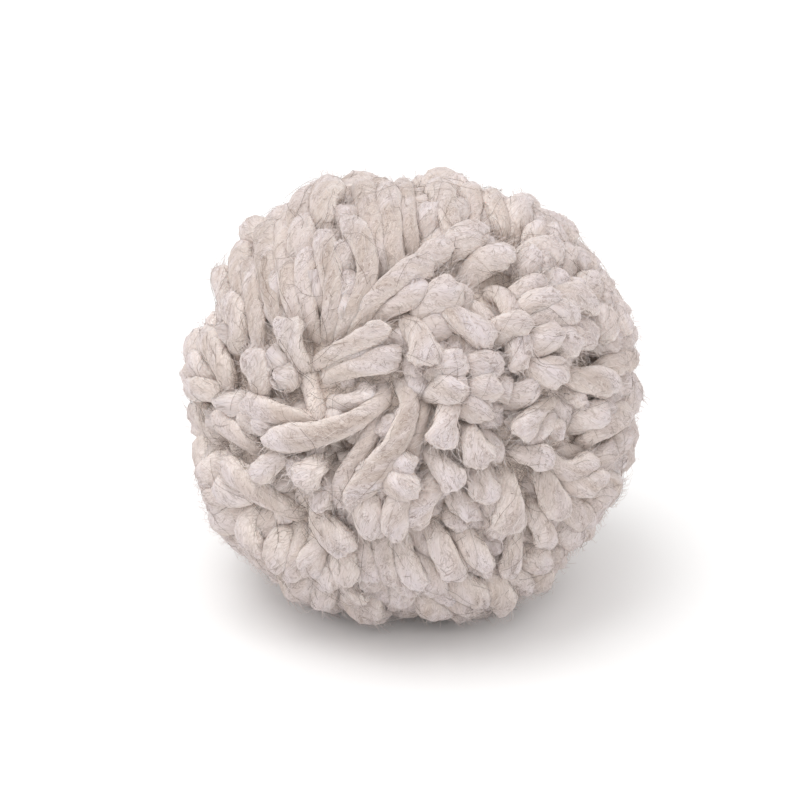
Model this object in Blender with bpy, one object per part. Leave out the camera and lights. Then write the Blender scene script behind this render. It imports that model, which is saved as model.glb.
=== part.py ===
"""A pom pom of thick, softly spun wool, resting on a flat surface.

A bundle of cut yarn is tied round the middle and its ends fan out to a ball. The strands stand apart,
and their roots are fused in the dense heart of the bundle. The pile parts at the front, where the tie
shows. The pile is pressed flat where it stands.

Metres, +Z up. The origin is on the floor, below the middle of the ball's width and depth. -Y is the front.
"""

import math
import random

import bmesh
import bpy
from mathutils import Matrix, Quaternion, Vector

# Driving sizes
BALL_RADIUS = 0.0442  # middle of the ball to the trimmed ends of the pile
FLOOR_SINK = 0.0028  # how much lower the ball stands for its soft pile
HEART_RADIUS = 0.0275  # dense middle of the bundle
HEART_STEPS = 24  # round the tie's axis
HEART_RINGS = 7  # from the tie's groove to a pole
HEART_SHIFT = (-0.0080, 0.0005, 0.0070)  # the ball is trimmed unevenly: across, up and towards the front
STRAND_COUNT = 284
STRAND_SEED = 11
LENGTH_SPREAD = 0.0011  # how much the trimmed length varies
PLACE_SPREAD = 0.0008  # how far a strand's end strays from an even layout
ROOT_DEPTH = 0.0045  # how far a strand reaches into the heart
LEAST_GAP = 0.0005  # kept between one strand and the next
LEAN_DELAY = 1.4  # above 1, a strand stands up first and leans over later
RISE_LEAD = 0.8  # below 1, a strand gains most of its height first

# A strand's section is a square, given by half its diagonal at four places from root to end
STRAND_GIRTH = (
    # name, share of the length, half diagonal
    ("root", 0.00, 0.0020),
    ("shank", 0.45, 0.0027),
    ("swell", 0.84, 0.0036),
    ("end", 1.00, 0.0024),
)

# The tie is a loop of the same yarn, pulled tight, so it lies in a groove of the heart
TIE_RADIUS = 0.0020
TIE_SINK = 0.0019  # how far its centre line lies under the heart's surface
TIE_GAP = 0.0004  # between the tie and the groove
TIE_BAND = 0.0042  # half width of the strip of heart that the tie needs free of roots
TIE_COVER = 0.27  # the pile closes over the tie from this far on each side, as a share of the radius
TIE_STEPS = 48
TIE_SIDES = 8

# The front is seen square on from this height above the floor
FACE_ELEVATION = math.radians(22)

# The parting is an arc across the front of the ball, from one end of the tie that shows to the other.
# Places on the heart's front are given across and up from its own middle.
PARTING_ENDS = (
    # name, across, up
    ("upper end", -0.0136, 0.0046),
    ("lower end", -0.0108, -0.0048),
)
PARTING_REACH = math.radians(115)  # where the lean away from the parting has died out
PARTING_OPENING = math.radians(8)  # how far the pile stands back from the parting
PARTING_MOUTH = math.radians(14)  # how far from its arc the pile leaves the tie bare

# How strongly the pile lies over, away from the parting, by the heading it leaves in.
# A heading is measured anticlockwise from the right, as seen on the front.
LEAN_BY_HEADING = (
    # name, heading in degrees, share of the way back to the parting that the root lies
    ("right", 0, 0.36),
    ("upper right", 45, 0.60),
    ("top", 90, 0.56),
    ("upper left", 135, 0.50),
    ("left", 180, 0.56),
    ("lower left", 225, 0.50),
    ("bottom", 270, 0.44),
    ("lower right", 315, 0.40),
)

# The trimmed ball isn't even: where its outline, seen on the front, stands out or in
OUTLINE_BULGES = (
    # name, heading in degrees, extra radius, spread in degrees
    ("upper left shoulder", 122, 0.0016, 18),
    ("lower left shoulder", 222, 0.0026, 28),
    ("foot at the right", 292, 0.0020, 12),
    ("right shoulder", 22, 0.0010, 16),
)

WOOL_COLOUR = (0.760, 0.680, 0.610, 1.0)
WOOL_ROUGHNESS = 0.95

GOLDEN_TURN = math.pi * (3 - math.sqrt(5))

ACROSS = Vector((1, 0, 0))
UPWARD = Vector((0, math.sin(FACE_ELEVATION), math.cos(FACE_ELEVATION)))
TOWARDS = Vector((0, -math.cos(FACE_ELEVATION), math.sin(FACE_ELEVATION)))
BALL_MIDDLE = Vector((0, 0, BALL_RADIUS - FLOOR_SINK))
HEART_MIDDLE = BALL_MIDDLE + ACROSS * HEART_SHIFT[0] + UPWARD * HEART_SHIFT[1] + TOWARDS * HEART_SHIFT[2]


def clear_scene():
    for obj in list(bpy.data.objects):
        bpy.data.objects.remove(obj)


def wool(name):
    material = bpy.data.materials.new(name)
    material.use_nodes = True
    shader = material.node_tree.nodes["Principled BSDF"]
    shader.inputs["Base Color"].default_value = WOOL_COLOUR
    shader.inputs["Roughness"].default_value = WOOL_ROUGHNESS
    shader.inputs["Metallic"].default_value = 0.0
    return material


def on_heart(across, up):
    """The direction from the heart's middle to a place on its front."""
    towards = math.sqrt(HEART_RADIUS**2 - across**2 - up**2)
    return (ACROSS * across + UPWARD * up + TOWARDS * towards).normalized()


def between(start, end, share):
    """The direction that lies a share of the way, or further, from one direction to another."""
    axis = start.cross(end)
    if axis.length < 1e-9:
        return start.copy()
    return Quaternion(axis, start.angle(end) * share) @ start


def nearest_on_parting(direction, ends):
    """The point of the parting's arc that is nearest to a direction."""
    first, last = ends
    chord = last - first
    share = max(0.0, min(1.0, (direction - first).dot(chord) / chord.length_squared))
    return (first + chord * share).normalized()


def heading_of(start, end):
    """The heading in degrees, on the front, from one direction to another."""
    step = end - start
    return math.degrees(math.atan2(step.dot(UPWARD), step.dot(ACROSS))) % 360


def lean_at(heading):
    """The share of lean for a heading, read between the rows of LEAN_BY_HEADING."""
    step = 360 / len(LEAN_BY_HEADING)
    row = int(heading // step)
    along = heading / step - row
    first = LEAN_BY_HEADING[row][2]
    last = LEAN_BY_HEADING[(row + 1) % len(LEAN_BY_HEADING)][2]
    return first + (last - first) * along


def trimmed_reach(direction):
    """How far the trimmed ball reaches from the heart's middle, with the bulges of its outline."""
    shift = HEART_MIDDLE - BALL_MIDDLE
    along = shift.dot(direction)
    radius = -along + math.sqrt(along**2 - shift.length_squared + BALL_RADIUS**2)
    for _, heading, extra, spread in OUTLINE_BULGES:
        angle = math.radians(heading)
        peak = ACROSS * math.cos(angle) + UPWARD * math.sin(angle)
        away = math.degrees(direction.angle(peak))
        radius += extra * math.exp(-((away / spread) ** 2))
    return radius


def even_directions(count):
    """Directions from the ball's middle, spread evenly, the first one straight down."""
    found = []
    for i in range(count):
        height = -1 + 2 * i / (count - 1)
        ring = math.sqrt(max(0.0, 1 - height * height))
        turn = i * GOLDEN_TURN
        found.append(Vector((ring * math.cos(turn), ring * math.sin(turn), height)))
    return found


def clear_of_tie(direction, tie_axis):
    """Moves a root direction sideways, so that a strip of the heart stays free for the tie."""
    band = TIE_BAND / HEART_RADIUS
    side = direction.dot(tie_axis)
    moved = math.copysign(band + (1 - band) * abs(side), side)
    flat = (direction - tie_axis * side).normalized()
    return flat * math.sqrt(1 - moved * moved) + tie_axis * moved


def closed_over_tie(direction, origin, tie_axis):
    """Moves an end near the tie's plane towards it, so that the pile closes over the tie."""
    side = direction.dot(tie_axis)
    if abs(side) > TIE_COVER or origin.angle(direction) < PARTING_MOUTH:
        return direction
    return (direction - tie_axis * side * 0.85).normalized()


def strand_ends(direction, ends, tie_axis):
    """The directions of a strand's root and end, once the pile leans away from the parting."""
    origin = nearest_on_parting(direction, ends)
    angle = origin.angle(direction)
    fade = max(0.0, 1 - angle / PARTING_REACH)
    lean = lean_at(heading_of(origin, direction)) * fade
    root = between(origin, direction, 1 - lean)
    end = between(origin, direction, 1 + PARTING_OPENING * fade / max(angle, 0.02))
    return clear_of_tie(root, tie_axis), closed_over_tie(end, origin, tie_axis)


def strand_line(root, end, length_change):
    """Points along a strand: out of the heart first, and then over towards its end."""
    inner = HEART_RADIUS - ROOT_DEPTH
    outer = trimmed_reach(end) + length_change
    points = []
    for _, share, _ in STRAND_GIRTH:
        direction = between(root, end, share**LEAN_DELAY)
        radius = inner + (outer - inner) * share**RISE_LEAD
        points.append(HEART_MIDDLE + direction * radius)
    return points


def stands_on_floor(points):
    return points[-1].z < 0


def rest_on_floor(points):
    """Shortens a strand below the ball, so that it ends level on the floor."""
    root = points[0]
    keep = root.z / (root.z - points[-1].z)
    return [root + (point - root) * keep for point in points]


def spread_out(lines):
    """Nudges the strands' middles and ends apart, where two come closer than their own girth."""
    girths = [row[2] for row in STRAND_GIRTH]
    for _ in range(12):
        for place in range(1, len(STRAND_GIRTH)):
            least = 2 * girths[place] + LEAST_GAP
            for i, line in enumerate(lines):
                for other in lines[i + 1 :]:
                    gap = line[place] - other[place]
                    if gap.length >= least:
                        continue
                    push = gap.normalized() * (least - gap.length) * 0.35
                    line[place] = line[place] + push
                    other[place] = other[place] - push


def gap_to_line(point, line):
    """The distance from a point to another strand's centre line."""
    best = math.inf
    for a, b in zip(line, line[1:]):
        run = b - a
        share = max(0.0, min(1.0, (point - a).dot(run) / run.length_squared))
        best = min(best, (point - a - run * share).length)
    return best


def gap_to_tie(point, tie_axis):
    """The distance from a point to the centre line of the tie."""
    rise = (point - HEART_MIDDLE).dot(tie_axis)
    flat = (point - HEART_MIDDLE) - tie_axis * rise
    return math.hypot(flat.length - tie_loop_radius(), rise)


def tie_loop_radius():
    """The radius of the tie's centre line."""
    return HEART_RADIUS - TIE_SINK


def fitted_girths(lines, tie_axis):
    """Half diagonals for each strand, cut down where a neighbour or the tie is close."""
    fitted = []
    for i, line in enumerate(lines):
        near = [
            other
            for j, other in enumerate(lines)
            if j != i and (other[2] - line[2]).length < 0.02
        ]
        girths = []
        for k, (_, _, girth) in enumerate(STRAND_GIRTH):
            before = line[max(k - 1, 0)]
            after = line[min(k + 1, len(line) - 1)]
            spots = [line[k], (line[k] + before) / 2, (line[k] + after) / 2]
            allowed = min(gap_to_line(spots[0], other) for other in near) / 2
            beside_tie = min(gap_to_tie(spot, tie_axis) for spot in spots) - TIE_RADIUS
            girths.append(min(girth, allowed - LEAST_GAP / 2, beside_tie - LEAST_GAP))
        fitted.append(girths)
    return fitted


def add_strand(bm, line, girths, roll, on_floor):
    """A closed four-sided strand along a line, with its end blunt, or level on the floor."""
    rings = []
    side = None
    for k, (point, girth) in enumerate(zip(line, girths)):
        ahead = line[min(k + 1, len(line) - 1)] - line[max(k - 1, 0)]
        if on_floor and k == len(line) - 1:
            ahead = Vector((0, 0, -1))
        ahead.normalize()
        if side is None:
            side = ahead.orthogonal()
            side.rotate(Quaternion(ahead, roll))
        side = (side - ahead * side.dot(ahead)).normalized()
        other = ahead.cross(side)
        ring = []
        for corner in range(4):
            angle = corner * math.pi / 2
            place = point + (side * math.cos(angle) + other * math.sin(angle)) * girth
            place.z = max(place.z, 0.0 if on_floor and k == len(line) - 1 else 0.0008)
            ring.append(bm.verts.new(place))
        rings.append(ring)
    bm.faces.new(reversed(rings[0]))
    bm.faces.new(rings[-1])
    for low, high in zip(rings, rings[1:]):
        for c in range(4):
            d = (c + 1) % 4
            bm.faces.new((low[c], low[d], high[d], high[c]))


def mesh_object(name, bm, material):
    bmesh.ops.recalc_face_normals(bm, faces=bm.faces)
    mesh = bpy.data.meshes.new(name)
    bm.to_mesh(mesh)
    bm.free()
    mesh.materials.append(material)
    obj = bpy.data.objects.new(name, mesh)
    bpy.context.scene.collection.objects.link(obj)
    return obj


def laid_out_strands(ends, tie_axis):
    """The centre lines of all strands, and which of them stand on the floor."""
    chance = random.Random(STRAND_SEED)
    lines = []
    for i, direction in enumerate(even_directions(STRAND_COUNT)):
        if i > 0:
            stray = Vector([chance.gauss(0, 1) for _ in range(3)])
            direction = (direction * BALL_RADIUS + stray * PLACE_SPREAD).normalized()
        direction = (BALL_MIDDLE + direction * BALL_RADIUS - HEART_MIDDLE).normalized()
        root, end = strand_ends(direction, ends, tie_axis)
        lines.append(strand_line(root, end, chance.uniform(-1, 1) * LENGTH_SPREAD))
    spread_out(lines)
    on_floor = [stands_on_floor(line) for line in lines]
    lines = [rest_on_floor(line) if low else line for line, low in zip(lines, on_floor)]
    return lines, on_floor


def centring_shift(obj):
    """The sideways shift that puts the origin under the middle of an object's width and depth."""
    points = [vertex.co for vertex in obj.data.vertices]
    across = (min(p.x for p in points) + max(p.x for p in points)) / 2
    along = (min(p.y for p in points) + max(p.y for p in points)) / 2
    return Vector((-across, -along, 0))


def heart_mesh(tie_axis):
    """A ball turned round the tie's axis, with a groove that leaves room for the tie."""
    half_width = TIE_RADIUS + TIE_GAP
    floor = tie_loop_radius() - half_width
    profile = [(floor, 0.0), (floor, half_width)]
    lip = math.asin(half_width / HEART_RADIUS)
    for i in range(HEART_RINGS):
        angle = lip + (math.pi / 2 - lip) * i / HEART_RINGS
        profile.append((HEART_RADIUS * math.cos(angle), HEART_RADIUS * math.sin(angle)))
    profile = [(radius, -height) for radius, height in reversed(profile[1:])] + profile

    heart = bmesh.new()
    turn = tie_axis.to_track_quat("Z", "Y").to_matrix().to_4x4()
    place = Matrix.Translation(HEART_MIDDLE) @ turn
    rings = []
    for radius, height in profile:
        ring = []
        for step in range(HEART_STEPS):
            angle = 2 * math.pi * step / HEART_STEPS
            point = Vector((radius * math.cos(angle), radius * math.sin(angle), height))
            ring.append(heart.verts.new(place @ point))
        rings.append(ring)
    poles = [heart.verts.new(place @ Vector((0, 0, side * HEART_RADIUS))) for side in (-1, 1)]
    for step in range(HEART_STEPS):
        other = (step + 1) % HEART_STEPS
        heart.faces.new((rings[0][other], rings[0][step], poles[0]))
        heart.faces.new((rings[-1][step], rings[-1][other], poles[1]))
        for low, high in zip(rings, rings[1:]):
            heart.faces.new((low[step], low[other], high[other], high[step]))
    return heart


def make_pile(lines, on_floor, girths, tie_axis):
    """The heart of the bundle, with every strand's root fused into it."""
    chance = random.Random(STRAND_SEED + 1)
    strands = bmesh.new()
    for line, low, girth in zip(lines, on_floor, girths):
        add_strand(strands, line, girth, chance.uniform(0, math.pi / 2), low)
    cutter = mesh_object("strands", strands, wool("cut_yarn"))
    cutter.hide_render = True
    cutter.display_type = "WIRE"

    pile = mesh_object("pile", heart_mesh(tie_axis), wool("pile_wool"))
    fuse = pile.modifiers.new("fuse strands", "BOOLEAN")
    fuse.operation = "UNION"
    fuse.object = cutter
    return pile, cutter


def make_tie(tie_axis):
    """The loop of yarn round the middle of the bundle."""
    loop = bmesh.new()
    turn = tie_axis.to_track_quat("Z", "Y").to_matrix().to_4x4()
    place = Matrix.Translation(HEART_MIDDLE) @ turn
    rings = []
    for step in range(TIE_STEPS):
        angle = 2 * math.pi * step / TIE_STEPS
        ring = []
        for side in range(TIE_SIDES):
            tilt = 2 * math.pi * side / TIE_SIDES
            radius = tie_loop_radius() + TIE_RADIUS * math.cos(tilt)
            point = Vector((radius * math.cos(angle), radius * math.sin(angle), TIE_RADIUS * math.sin(tilt)))
            ring.append(loop.verts.new(place @ point))
        rings.append(ring)
    for step, ring in enumerate(rings):
        following = rings[(step + 1) % TIE_STEPS]
        for side in range(TIE_SIDES):
            other = (side + 1) % TIE_SIDES
            loop.faces.new((ring[side], ring[other], following[other], following[side]))
    tie = mesh_object("tie", loop, wool("tie_wool"))
    tie.data.shade_smooth()
    return tie


def main():
    clear_scene()
    ends = [on_heart(across, up) for _, across, up in PARTING_ENDS]
    tie_axis = ends[0].cross(ends[1]).normalized()
    lines, on_floor = laid_out_strands(ends, tie_axis)
    girths = fitted_girths(lines, tie_axis)
    pile, cutter = make_pile(lines, on_floor, girths, tie_axis)
    tie = make_tie(tie_axis)
    shift = centring_shift(cutter)
    for obj in (pile, cutter, tie):
        obj.location = shift


main()
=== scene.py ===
import math
from functools import partial

import bmesh
import bpy
import numpy as np
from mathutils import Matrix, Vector
from mathutils.kdtree import KDTree


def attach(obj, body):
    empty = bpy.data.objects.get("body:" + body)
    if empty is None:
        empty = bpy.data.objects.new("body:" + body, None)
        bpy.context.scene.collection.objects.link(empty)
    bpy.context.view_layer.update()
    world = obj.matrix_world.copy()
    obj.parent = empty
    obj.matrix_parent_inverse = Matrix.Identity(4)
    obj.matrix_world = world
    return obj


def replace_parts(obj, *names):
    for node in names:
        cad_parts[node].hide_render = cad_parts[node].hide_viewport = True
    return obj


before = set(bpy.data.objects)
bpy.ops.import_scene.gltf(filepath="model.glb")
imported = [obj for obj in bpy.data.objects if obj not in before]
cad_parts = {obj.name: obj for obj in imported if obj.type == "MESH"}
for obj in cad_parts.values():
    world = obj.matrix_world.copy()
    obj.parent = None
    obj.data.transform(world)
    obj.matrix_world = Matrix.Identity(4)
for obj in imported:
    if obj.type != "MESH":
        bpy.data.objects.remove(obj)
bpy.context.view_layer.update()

# The ball is looked at square on from this height, and places on its front are given in millimetres
# across and up from its middle
mm = 0.001
faceElevation = math.radians(22)
across = np.array((1.0, 0.0, 0.0))
upward = np.array((0.0, math.sin(faceElevation), math.cos(faceElevation)))
towards = np.array((0.0, -math.cos(faceElevation), math.sin(faceElevation)))

ball = {
    "middle": (1.0, -0.5, 41.4),
    "heartShift": (-8.0, 0.5, 7.0),  # across, up, towards: the ball is trimmed unevenly round its heart
    "heartRadius": 27.5,
    # the trimmed edge every 22.5 degrees, anticlockwise from the right
    "trim": (
        44.2, 45.0, 44.0, 43.6, 43.6, 45.6, 46.4, 45.6,
        44.6, 46.6, 46.8, 46.2, 44.2, 46.2, 44.0, 43.6,
    ),
    "trimFacing": 44.4,  # towards the front and the back
}
view = {
    "lens": 100.0,
    "sensor": 36.0,
    "widthAtBall": 159.2,  # what the frame takes in at the ball's middle
    "offset": (-3.2, -1.4),  # the frame's middle from the ball's: across, up
}
ballMiddle = np.array(ball["middle"]) * mm
heartMiddle = ballMiddle + (
    across * ball["heartShift"][0] + upward * ball["heartShift"][1] + towards * ball["heartShift"][2]
) * mm
heartRadius = ball["heartRadius"] * mm


def unit(vectors):
    length = np.linalg.norm(vectors, axis=-1, keepdims=True)
    return vectors / np.maximum(length, 1e-9)


def trimReach(directions):
    # how far the trimmed ball reaches from its middle
    a = directions @ across
    u = directions @ upward
    heading = np.degrees(np.arctan2(u, a)) % 360
    step = 360 / len(ball["trim"])
    table = np.array(ball["trim"] + ball["trim"][:1])
    edge = np.interp(heading, np.arange(len(table)) * step, table)
    sideways = np.clip(a * a + u * u, 0, 1) ** 1.5
    return (ball["trimFacing"] + (edge - ball["trimFacing"]) * sideways) * mm


def frontPoint(placeAcross, placeUp, sink):
    # a place sunk a little below the trimmed front, where the camera sees it
    seen = np.array((placeAcross, placeUp))
    aim = np.array(view["offset"])
    distance = view["widthAtBall"] * view["lens"] / view["sensor"]
    spot = seen
    for _ in range(4):  # each round comes closer to where the sight line meets the ball
        direction = unit(across * spot[0] + upward * spot[1] + towards * 20.0)
        level = trimReach(direction[None])[0] / mm - sink
        spread = math.hypot(*spot)
        depth = math.sqrt(max(level**2 - spread**2, 1.0))
        spot = aim + (seen - aim) * (1 - depth / distance)
        spot = spot * min(1.0, level / math.hypot(*spot))
    return ballMiddle + (across * spot[0] + upward * spot[1] + towards * depth) * mm


tie = {
    "axis": (0.8466, 0.315, 0.4291),  # across, up, towards
    "sink": 1.9,  # its centre line lies this far under the heart's surface
    "radius": 2.0,
    "showing": (-16, 16),  # degrees of the loop seen in the mouth of the parting
    "clearance": 3.4,  # how far beside it the pile stays, where it shows
    "strip": 3.6,  # half width of the strip of heart in which no strand is rooted
    "lumps": ((0.06, 11, 0), (0.04, 23, 1)),  # share of its radius, how many round the loop, from where
    "rings": 96,
}
tieAxis = unit(across * tie["axis"][0] + upward * tie["axis"][1] + towards * tie["axis"][2])
tieLoop = heartRadius - tie["sink"] * mm

pile = {
    "count": 880,
    "seed": 5,
    "points": 10,
    "girth": 2.0,  # half the width of a strand of roving, well inside the pile
    "girthSpread": (0.97, 0.09, 0.78, 1.2),  # middle, spread, least and most
    "swell": (0.88, 1.16),  # how full the cut ends are
    "placedSwell": (1.08, 1.26),
    "rootDepth": 3.5,
    "spread": 44.0,  # the ends are spaced evenly at this distance from the ball's middle
    "stray": 1.1,  # how far an end strays from an even layout
    "clump": 1.9,  # how far whole tufts lean together
    "clumpSize": 15.0,
    "lengthSpread": 0.9,
    "trimmedBack": 1.2,
    "partingEnds": ((-22.6, 5.6), (-19.6, -4.4)),
    "partingDepth": 6.0,
    "partingReach": 115,
    "partingOpening": 8,
    # share of the way back to the parting that a root lies, every 45 degrees from the right
    "lean": (0.36, 0.56, 0.66, 0.62, 0.52, 0.48, 0.52, 0.40),
    "leanDelay": 1.35,
    # the layer below the placed strands, so that wool shows between them: to either side, and lower
    "underAside": (-2.5, 2.5),
    "underLower": 3.6,
    "underSink": 6.0,
    "underGirth": 0.92,
    # the outer stretch of a strand lies over, away from the parting: how far at the front and at the back,
    # how unevenly, in tufts of what size
    "layOver": 5.2,
    "layBehind": 9.5,
    "layUneven": 0.75,
    "laySize": 26.0,
    "knobLayOver": 1.5,
    "knobSink": 0.6,
    # how much a strand gives way when pressed: placed one by one, below those, a knob, any other
    "give": {"placed": 0.12, "under": 0.5, "knob": 0.35, "free": 1.0},
    # no end stands nearer than this to a placed strand: where it lies under one, and elsewhere
    "room": (2.6, 3.8),
}

# Strands that lie over the front round the parting. Each runs from its root, where it comes out from
# under the others, past a bend, to its cut end.
fingers = (
    # name, root across, up, bend across, up, end across, up, root sink, bend sink, end sink, girth
    ("lower left curl", -6.4, 2.2, -12.9, -6.0, -29.8, -9.4, 9.0, 3.4, 2.6, 0.88),
    ("big lower curl", -3.0, 2.4, -2.6, -7.6, -13.6, -21.5, 8.0, 3.0, 2.8, 0.95),
    ("inner curl", -7.4, -3.0, -9.9, -10.5, -15.9, -22.0, 9.0, 5.2, 4.2, 0.81),
    ("stub below", -15.5, -15.0, -17.9, -19.3, -18.7, -23.5, 9.0, 5.0, 3.2, 0.84),
    ("left finger", -20.6, -5.0, -26.4, -4.2, -34.0, -2.0, 8.0, 4.2, 3.2, 0.83),
    ("left lower finger", -29.4, -12.8, -34.6, -8.8, -39.0, -4.4, 9.0, 4.4, 3.0, 0.84),
    ("under the tie", -17.0, -2.0, -12.7, -1.6, -8.2, 0.4, 8.4, 6.6, 7.2, 0.77),
    ("right finger above", -20.4, 6.0, -13.1, 9.4, -6.0, 12.7, 8.0, 3.8, 3.2, 0.77),
    ("right finger below", -17.7, 2.6, -11.5, 5.0, -2.6, 7.2, 8.4, 4.6, 4.4, 0.81),
    ("white lobe", -1.6, 14.6, 0.4, 11.0, 2.2, 5.4, 9.0, 3.4, 3.0, 1.11),
    ("top snake", -17.0, 10.3, -9.7, 22.6, -13.9, 34.2, 8.6, 3.2, 3.0, 0.84),
    ("upper right long", -13.5, 11.0, -6.8, 20.2, 3.2, 25.3, 8.6, 3.4, 2.6, 0.86),
    ("upper right short", -9.4, 13.6, -3.8, 17.4, 2.4, 20.6, 9.0, 4.6, 3.4, 0.79),
    ("top, third", -17.9, 10.4, -16.6, 20.5, -18.3, 31.5, 8.8, 3.4, 3.0, 0.84),
    ("top, second", -18.9, 10.6, -21.9, 19.3, -20.9, 28.3, 8.8, 3.8, 3.2, 0.79),
    ("top, first", -22.4, 11.5, -25.4, 22.2, -26.0, 36.0, 8.8, 3.2, 2.2, 0.86),
    ("upper left, second", -25.6, 11.0, -29.4, 22.0, -30.6, 35.2, 8.8, 3.2, 1.8, 0.84),
    ("upper left, first", -29.0, 9.6, -33.8, 20.4, -36.5, 31.6, 8.8, 3.2, 1.4, 0.88),
    ("knob over the tie", -22.6, 5.6, -24.8, 10.4, -24.9, 15.0, 6.6, 3.4, 2.8, 0.97),
    ("crown, first", -6.6, 21.0, -8.3, 33.0, -10.7, 42.0, 9.0, 3.2, 2.6, 0.88),
    ("crown, second", -3.4, 21.0, -4.7, 30.6, -6.2, 40.6, 9.0, 3.6, 2.8, 0.86),
    ("crown, third", -0.6, 25.5, -1.6, 34.6, -2.8, 43.0, 9.0, 3.6, 2.4, 0.74),
    ("crown, fourth", 9.2, 27.5, 6.8, 33.6, 4.2, 41.0, 8.0, 3.0, 2.6, 0.93),
    ("crown, fifth", 11.2, 31.0, 11.5, 37.4, 11.5, 42.6, 8.0, 3.6, 2.4, 0.72),
    ("crown, sixth", 17.3, 30.2, 16.4, 35.2, 14.4, 40.4, 8.0, 3.4, 2.6, 0.86),
    ("short log", 3.0, 16.6, 7.4, 14.9, 15.2, 10.5, 8.0, 2.8, 2.8, 1.02),
    ("right long", 13.8, 19.6, 19.0, 16.4, 20.2, 4.2, 8.0, 2.8, 2.8, 0.88),
    ("middle drop", 7.4, 1.8, 6.3, -4.2, 4.6, -10.6, 8.6, 3.2, 2.8, 1.00),
    ("lower right finger", 26.8, -0.6, 23.6, -4.4, 20.4, -7.8, 8.0, 3.4, 2.8, 0.81),
    ("right rope", 25.4, -12.0, 30.0, -15.6, 34.6, -13.0, 7.0, 2.6, 3.0, 0.83),
    ("foot finger", 22.6, -20.8, 24.4, -25.2, 25.9, -29.6, 8.0, 3.0, 2.6, 0.84),
    ("foot, middle", 19.9, -26.0, 19.2, -31.0, 18.5, -35.6, 8.0, 3.2, 2.6, 0.86),
    ("left plait", -35.8, 0.2, -38.4, 5.4, -41.0, 11.8, 8.0, 3.4, 2.6, 0.92),
    ("left white", -30.4, -0.8, -31.0, 3.0, -31.4, 8.2, 7.0, 3.4, 2.6, 1.02),
    ("left tall", -30.4, 7.6, -31.8, 16.5, -33.2, 25.2, 8.0, 4.2, 3.2, 0.86),
    ("left inner", -35.4, 7.4, -35.0, 12.5, -36.0, 18.2, 8.0, 3.6, 2.8, 0.96),
    ("left edge, high", -38.6, 15.4, -39.6, 20.5, -39.4, 27.0, 8.0, 3.2, 1.4, 0.96),
    ("left long, low", -22.4, -24.2, -30.0, -19.9, -37.6, -14.0, 8.0, 3.6, 2.8, 0.96),
    ("left edge, low", -40.0, -10.4, -42.2, -6.2, -43.8, -1.6, 8.0, 3.0, 2.2, 0.92),
    ("centre right, high", 9.4, -6.4, 11.1, -9.9, 12.9, -13.8, 8.0, 3.0, 2.8, 1.06),
    ("bright low", 16.5, -16.2, 17.9, -21.0, 18.1, -26.6, 8.0, 2.4, 2.2, 1.16),
    ("right low lobe", 23.7, -14.4, 26.1, -18.7, 28.1, -23.4, 8.0, 3.0, 2.6, 1.04),
    ("right high lobe", 31.8, -10.2, 36.6, -7.0, 41.2, -4.0, 8.0, 2.6, 2.4, 1.00),
    ("right small lobe", 18.6, -11.4, 22.3, -12.4, 26.1, -13.2, 8.0, 3.4, 3.0, 0.82),
    ("centre low lobe", 2.4, -11.8, 5.2, -14.9, 8.4, -18.0, 8.0, 3.4, 3.0, 0.96),
    ("foot lobe", 2.6, -25.6, 5.2, -30.8, 7.9, -35.6, 8.0, 2.8, 2.4, 1.04),
    ("centre second lobe", 11.3, -14.4, 12.7, -17.3, 14.3, -20.6, 8.0, 3.8, 3.2, 0.92),
    ("right round", 19.8, 5.6, 24.3, 4.5, 28.7, 3.7, 8.0, 2.6, 2.4, 1.08),
    ("right far lobe", 28.7, 3.6, 33.6, 2.5, 38.5, 2.2, 8.0, 2.8, 2.6, 1.06),
    ("right edge lobe", 34.2, 3.4, 39.0, 5.4, 43.2, 7.6, 8.0, 2.8, 2.2, 0.94),
    ("low white knob", -18.6, -13.4, -20.4, -15.2, -22.4, -17.0, 7.0, 2.8, 2.4, 1.05),
    ("low left lobe", -24.5, -11.5, -28.0, -13.5, -31.0, -16.0, 8.0, 3.4, 3.0, 0.95),
    ("foot, left", 4.6, -15.5, 2.4, -20.6, -1.0, -26.0, 8.0, 3.2, 2.8, 0.90),
)

# Cut ends that face the front
knobs = (
    # name, across, up, girth
    ("upper white", 9.9, 22.6, 1.18),
    ("upper small", 7.2, 29.8, 1.00),
    ("inner first", 9.5, 6.9, 0.98),
    ("inner second", 10.6, 1.7, 0.92),
    ("inner third", 16.6, 2.4, 0.98),
    ("right small", 23.4, 14.6, 0.96),
    ("right upper", 28.6, 12.6, 1.00),
    ("right far", 33.0, 10.6, 0.98),
    ("upper right", 19.6, 27.6, 1.00),
    ("upper far", 25.4, 22.4, 0.96),
    ("top right", 13.6, 32.6, 1.02),
)


def leanAt(heading):
    table = np.array(pile["lean"] + pile["lean"][:1])
    return np.interp(heading % 360, np.arange(len(table)) * 45.0, table)


def turned(start, end, share):
    # the direction a share of the way, or further, from start to end
    axis = unit(np.cross(start, end))
    angle = np.arccos(np.clip(np.sum(start * end, axis=-1), -1, 1)) * share
    side = np.cross(axis, start)
    return start * np.cos(angle)[:, None] + side * np.sin(angle)[:, None]


def evenDirections(count):
    i = np.arange(count)
    height = 1 - 2 * (i + 0.5) / count
    ring = np.sqrt(1 - height**2)
    angle = i * math.pi * (3 - math.sqrt(5))
    return np.stack((ring * np.cos(angle), ring * np.sin(angle), height), axis=1)


def clumpField(points, chance):
    # a slow, smooth push that leans whole tufts of the pile together
    push = np.zeros_like(points)
    for _ in range(10):
        wave = unit(chance.normal(size=3)) * 2 * math.pi / (pile["clumpSize"] * mm)
        phase = chance.uniform(0, 2 * math.pi)
        push += np.sin(points @ wave + phase)[:, None] * unit(chance.normal(size=3))
    return push / math.sqrt(10) * pile["clump"] * mm


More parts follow.
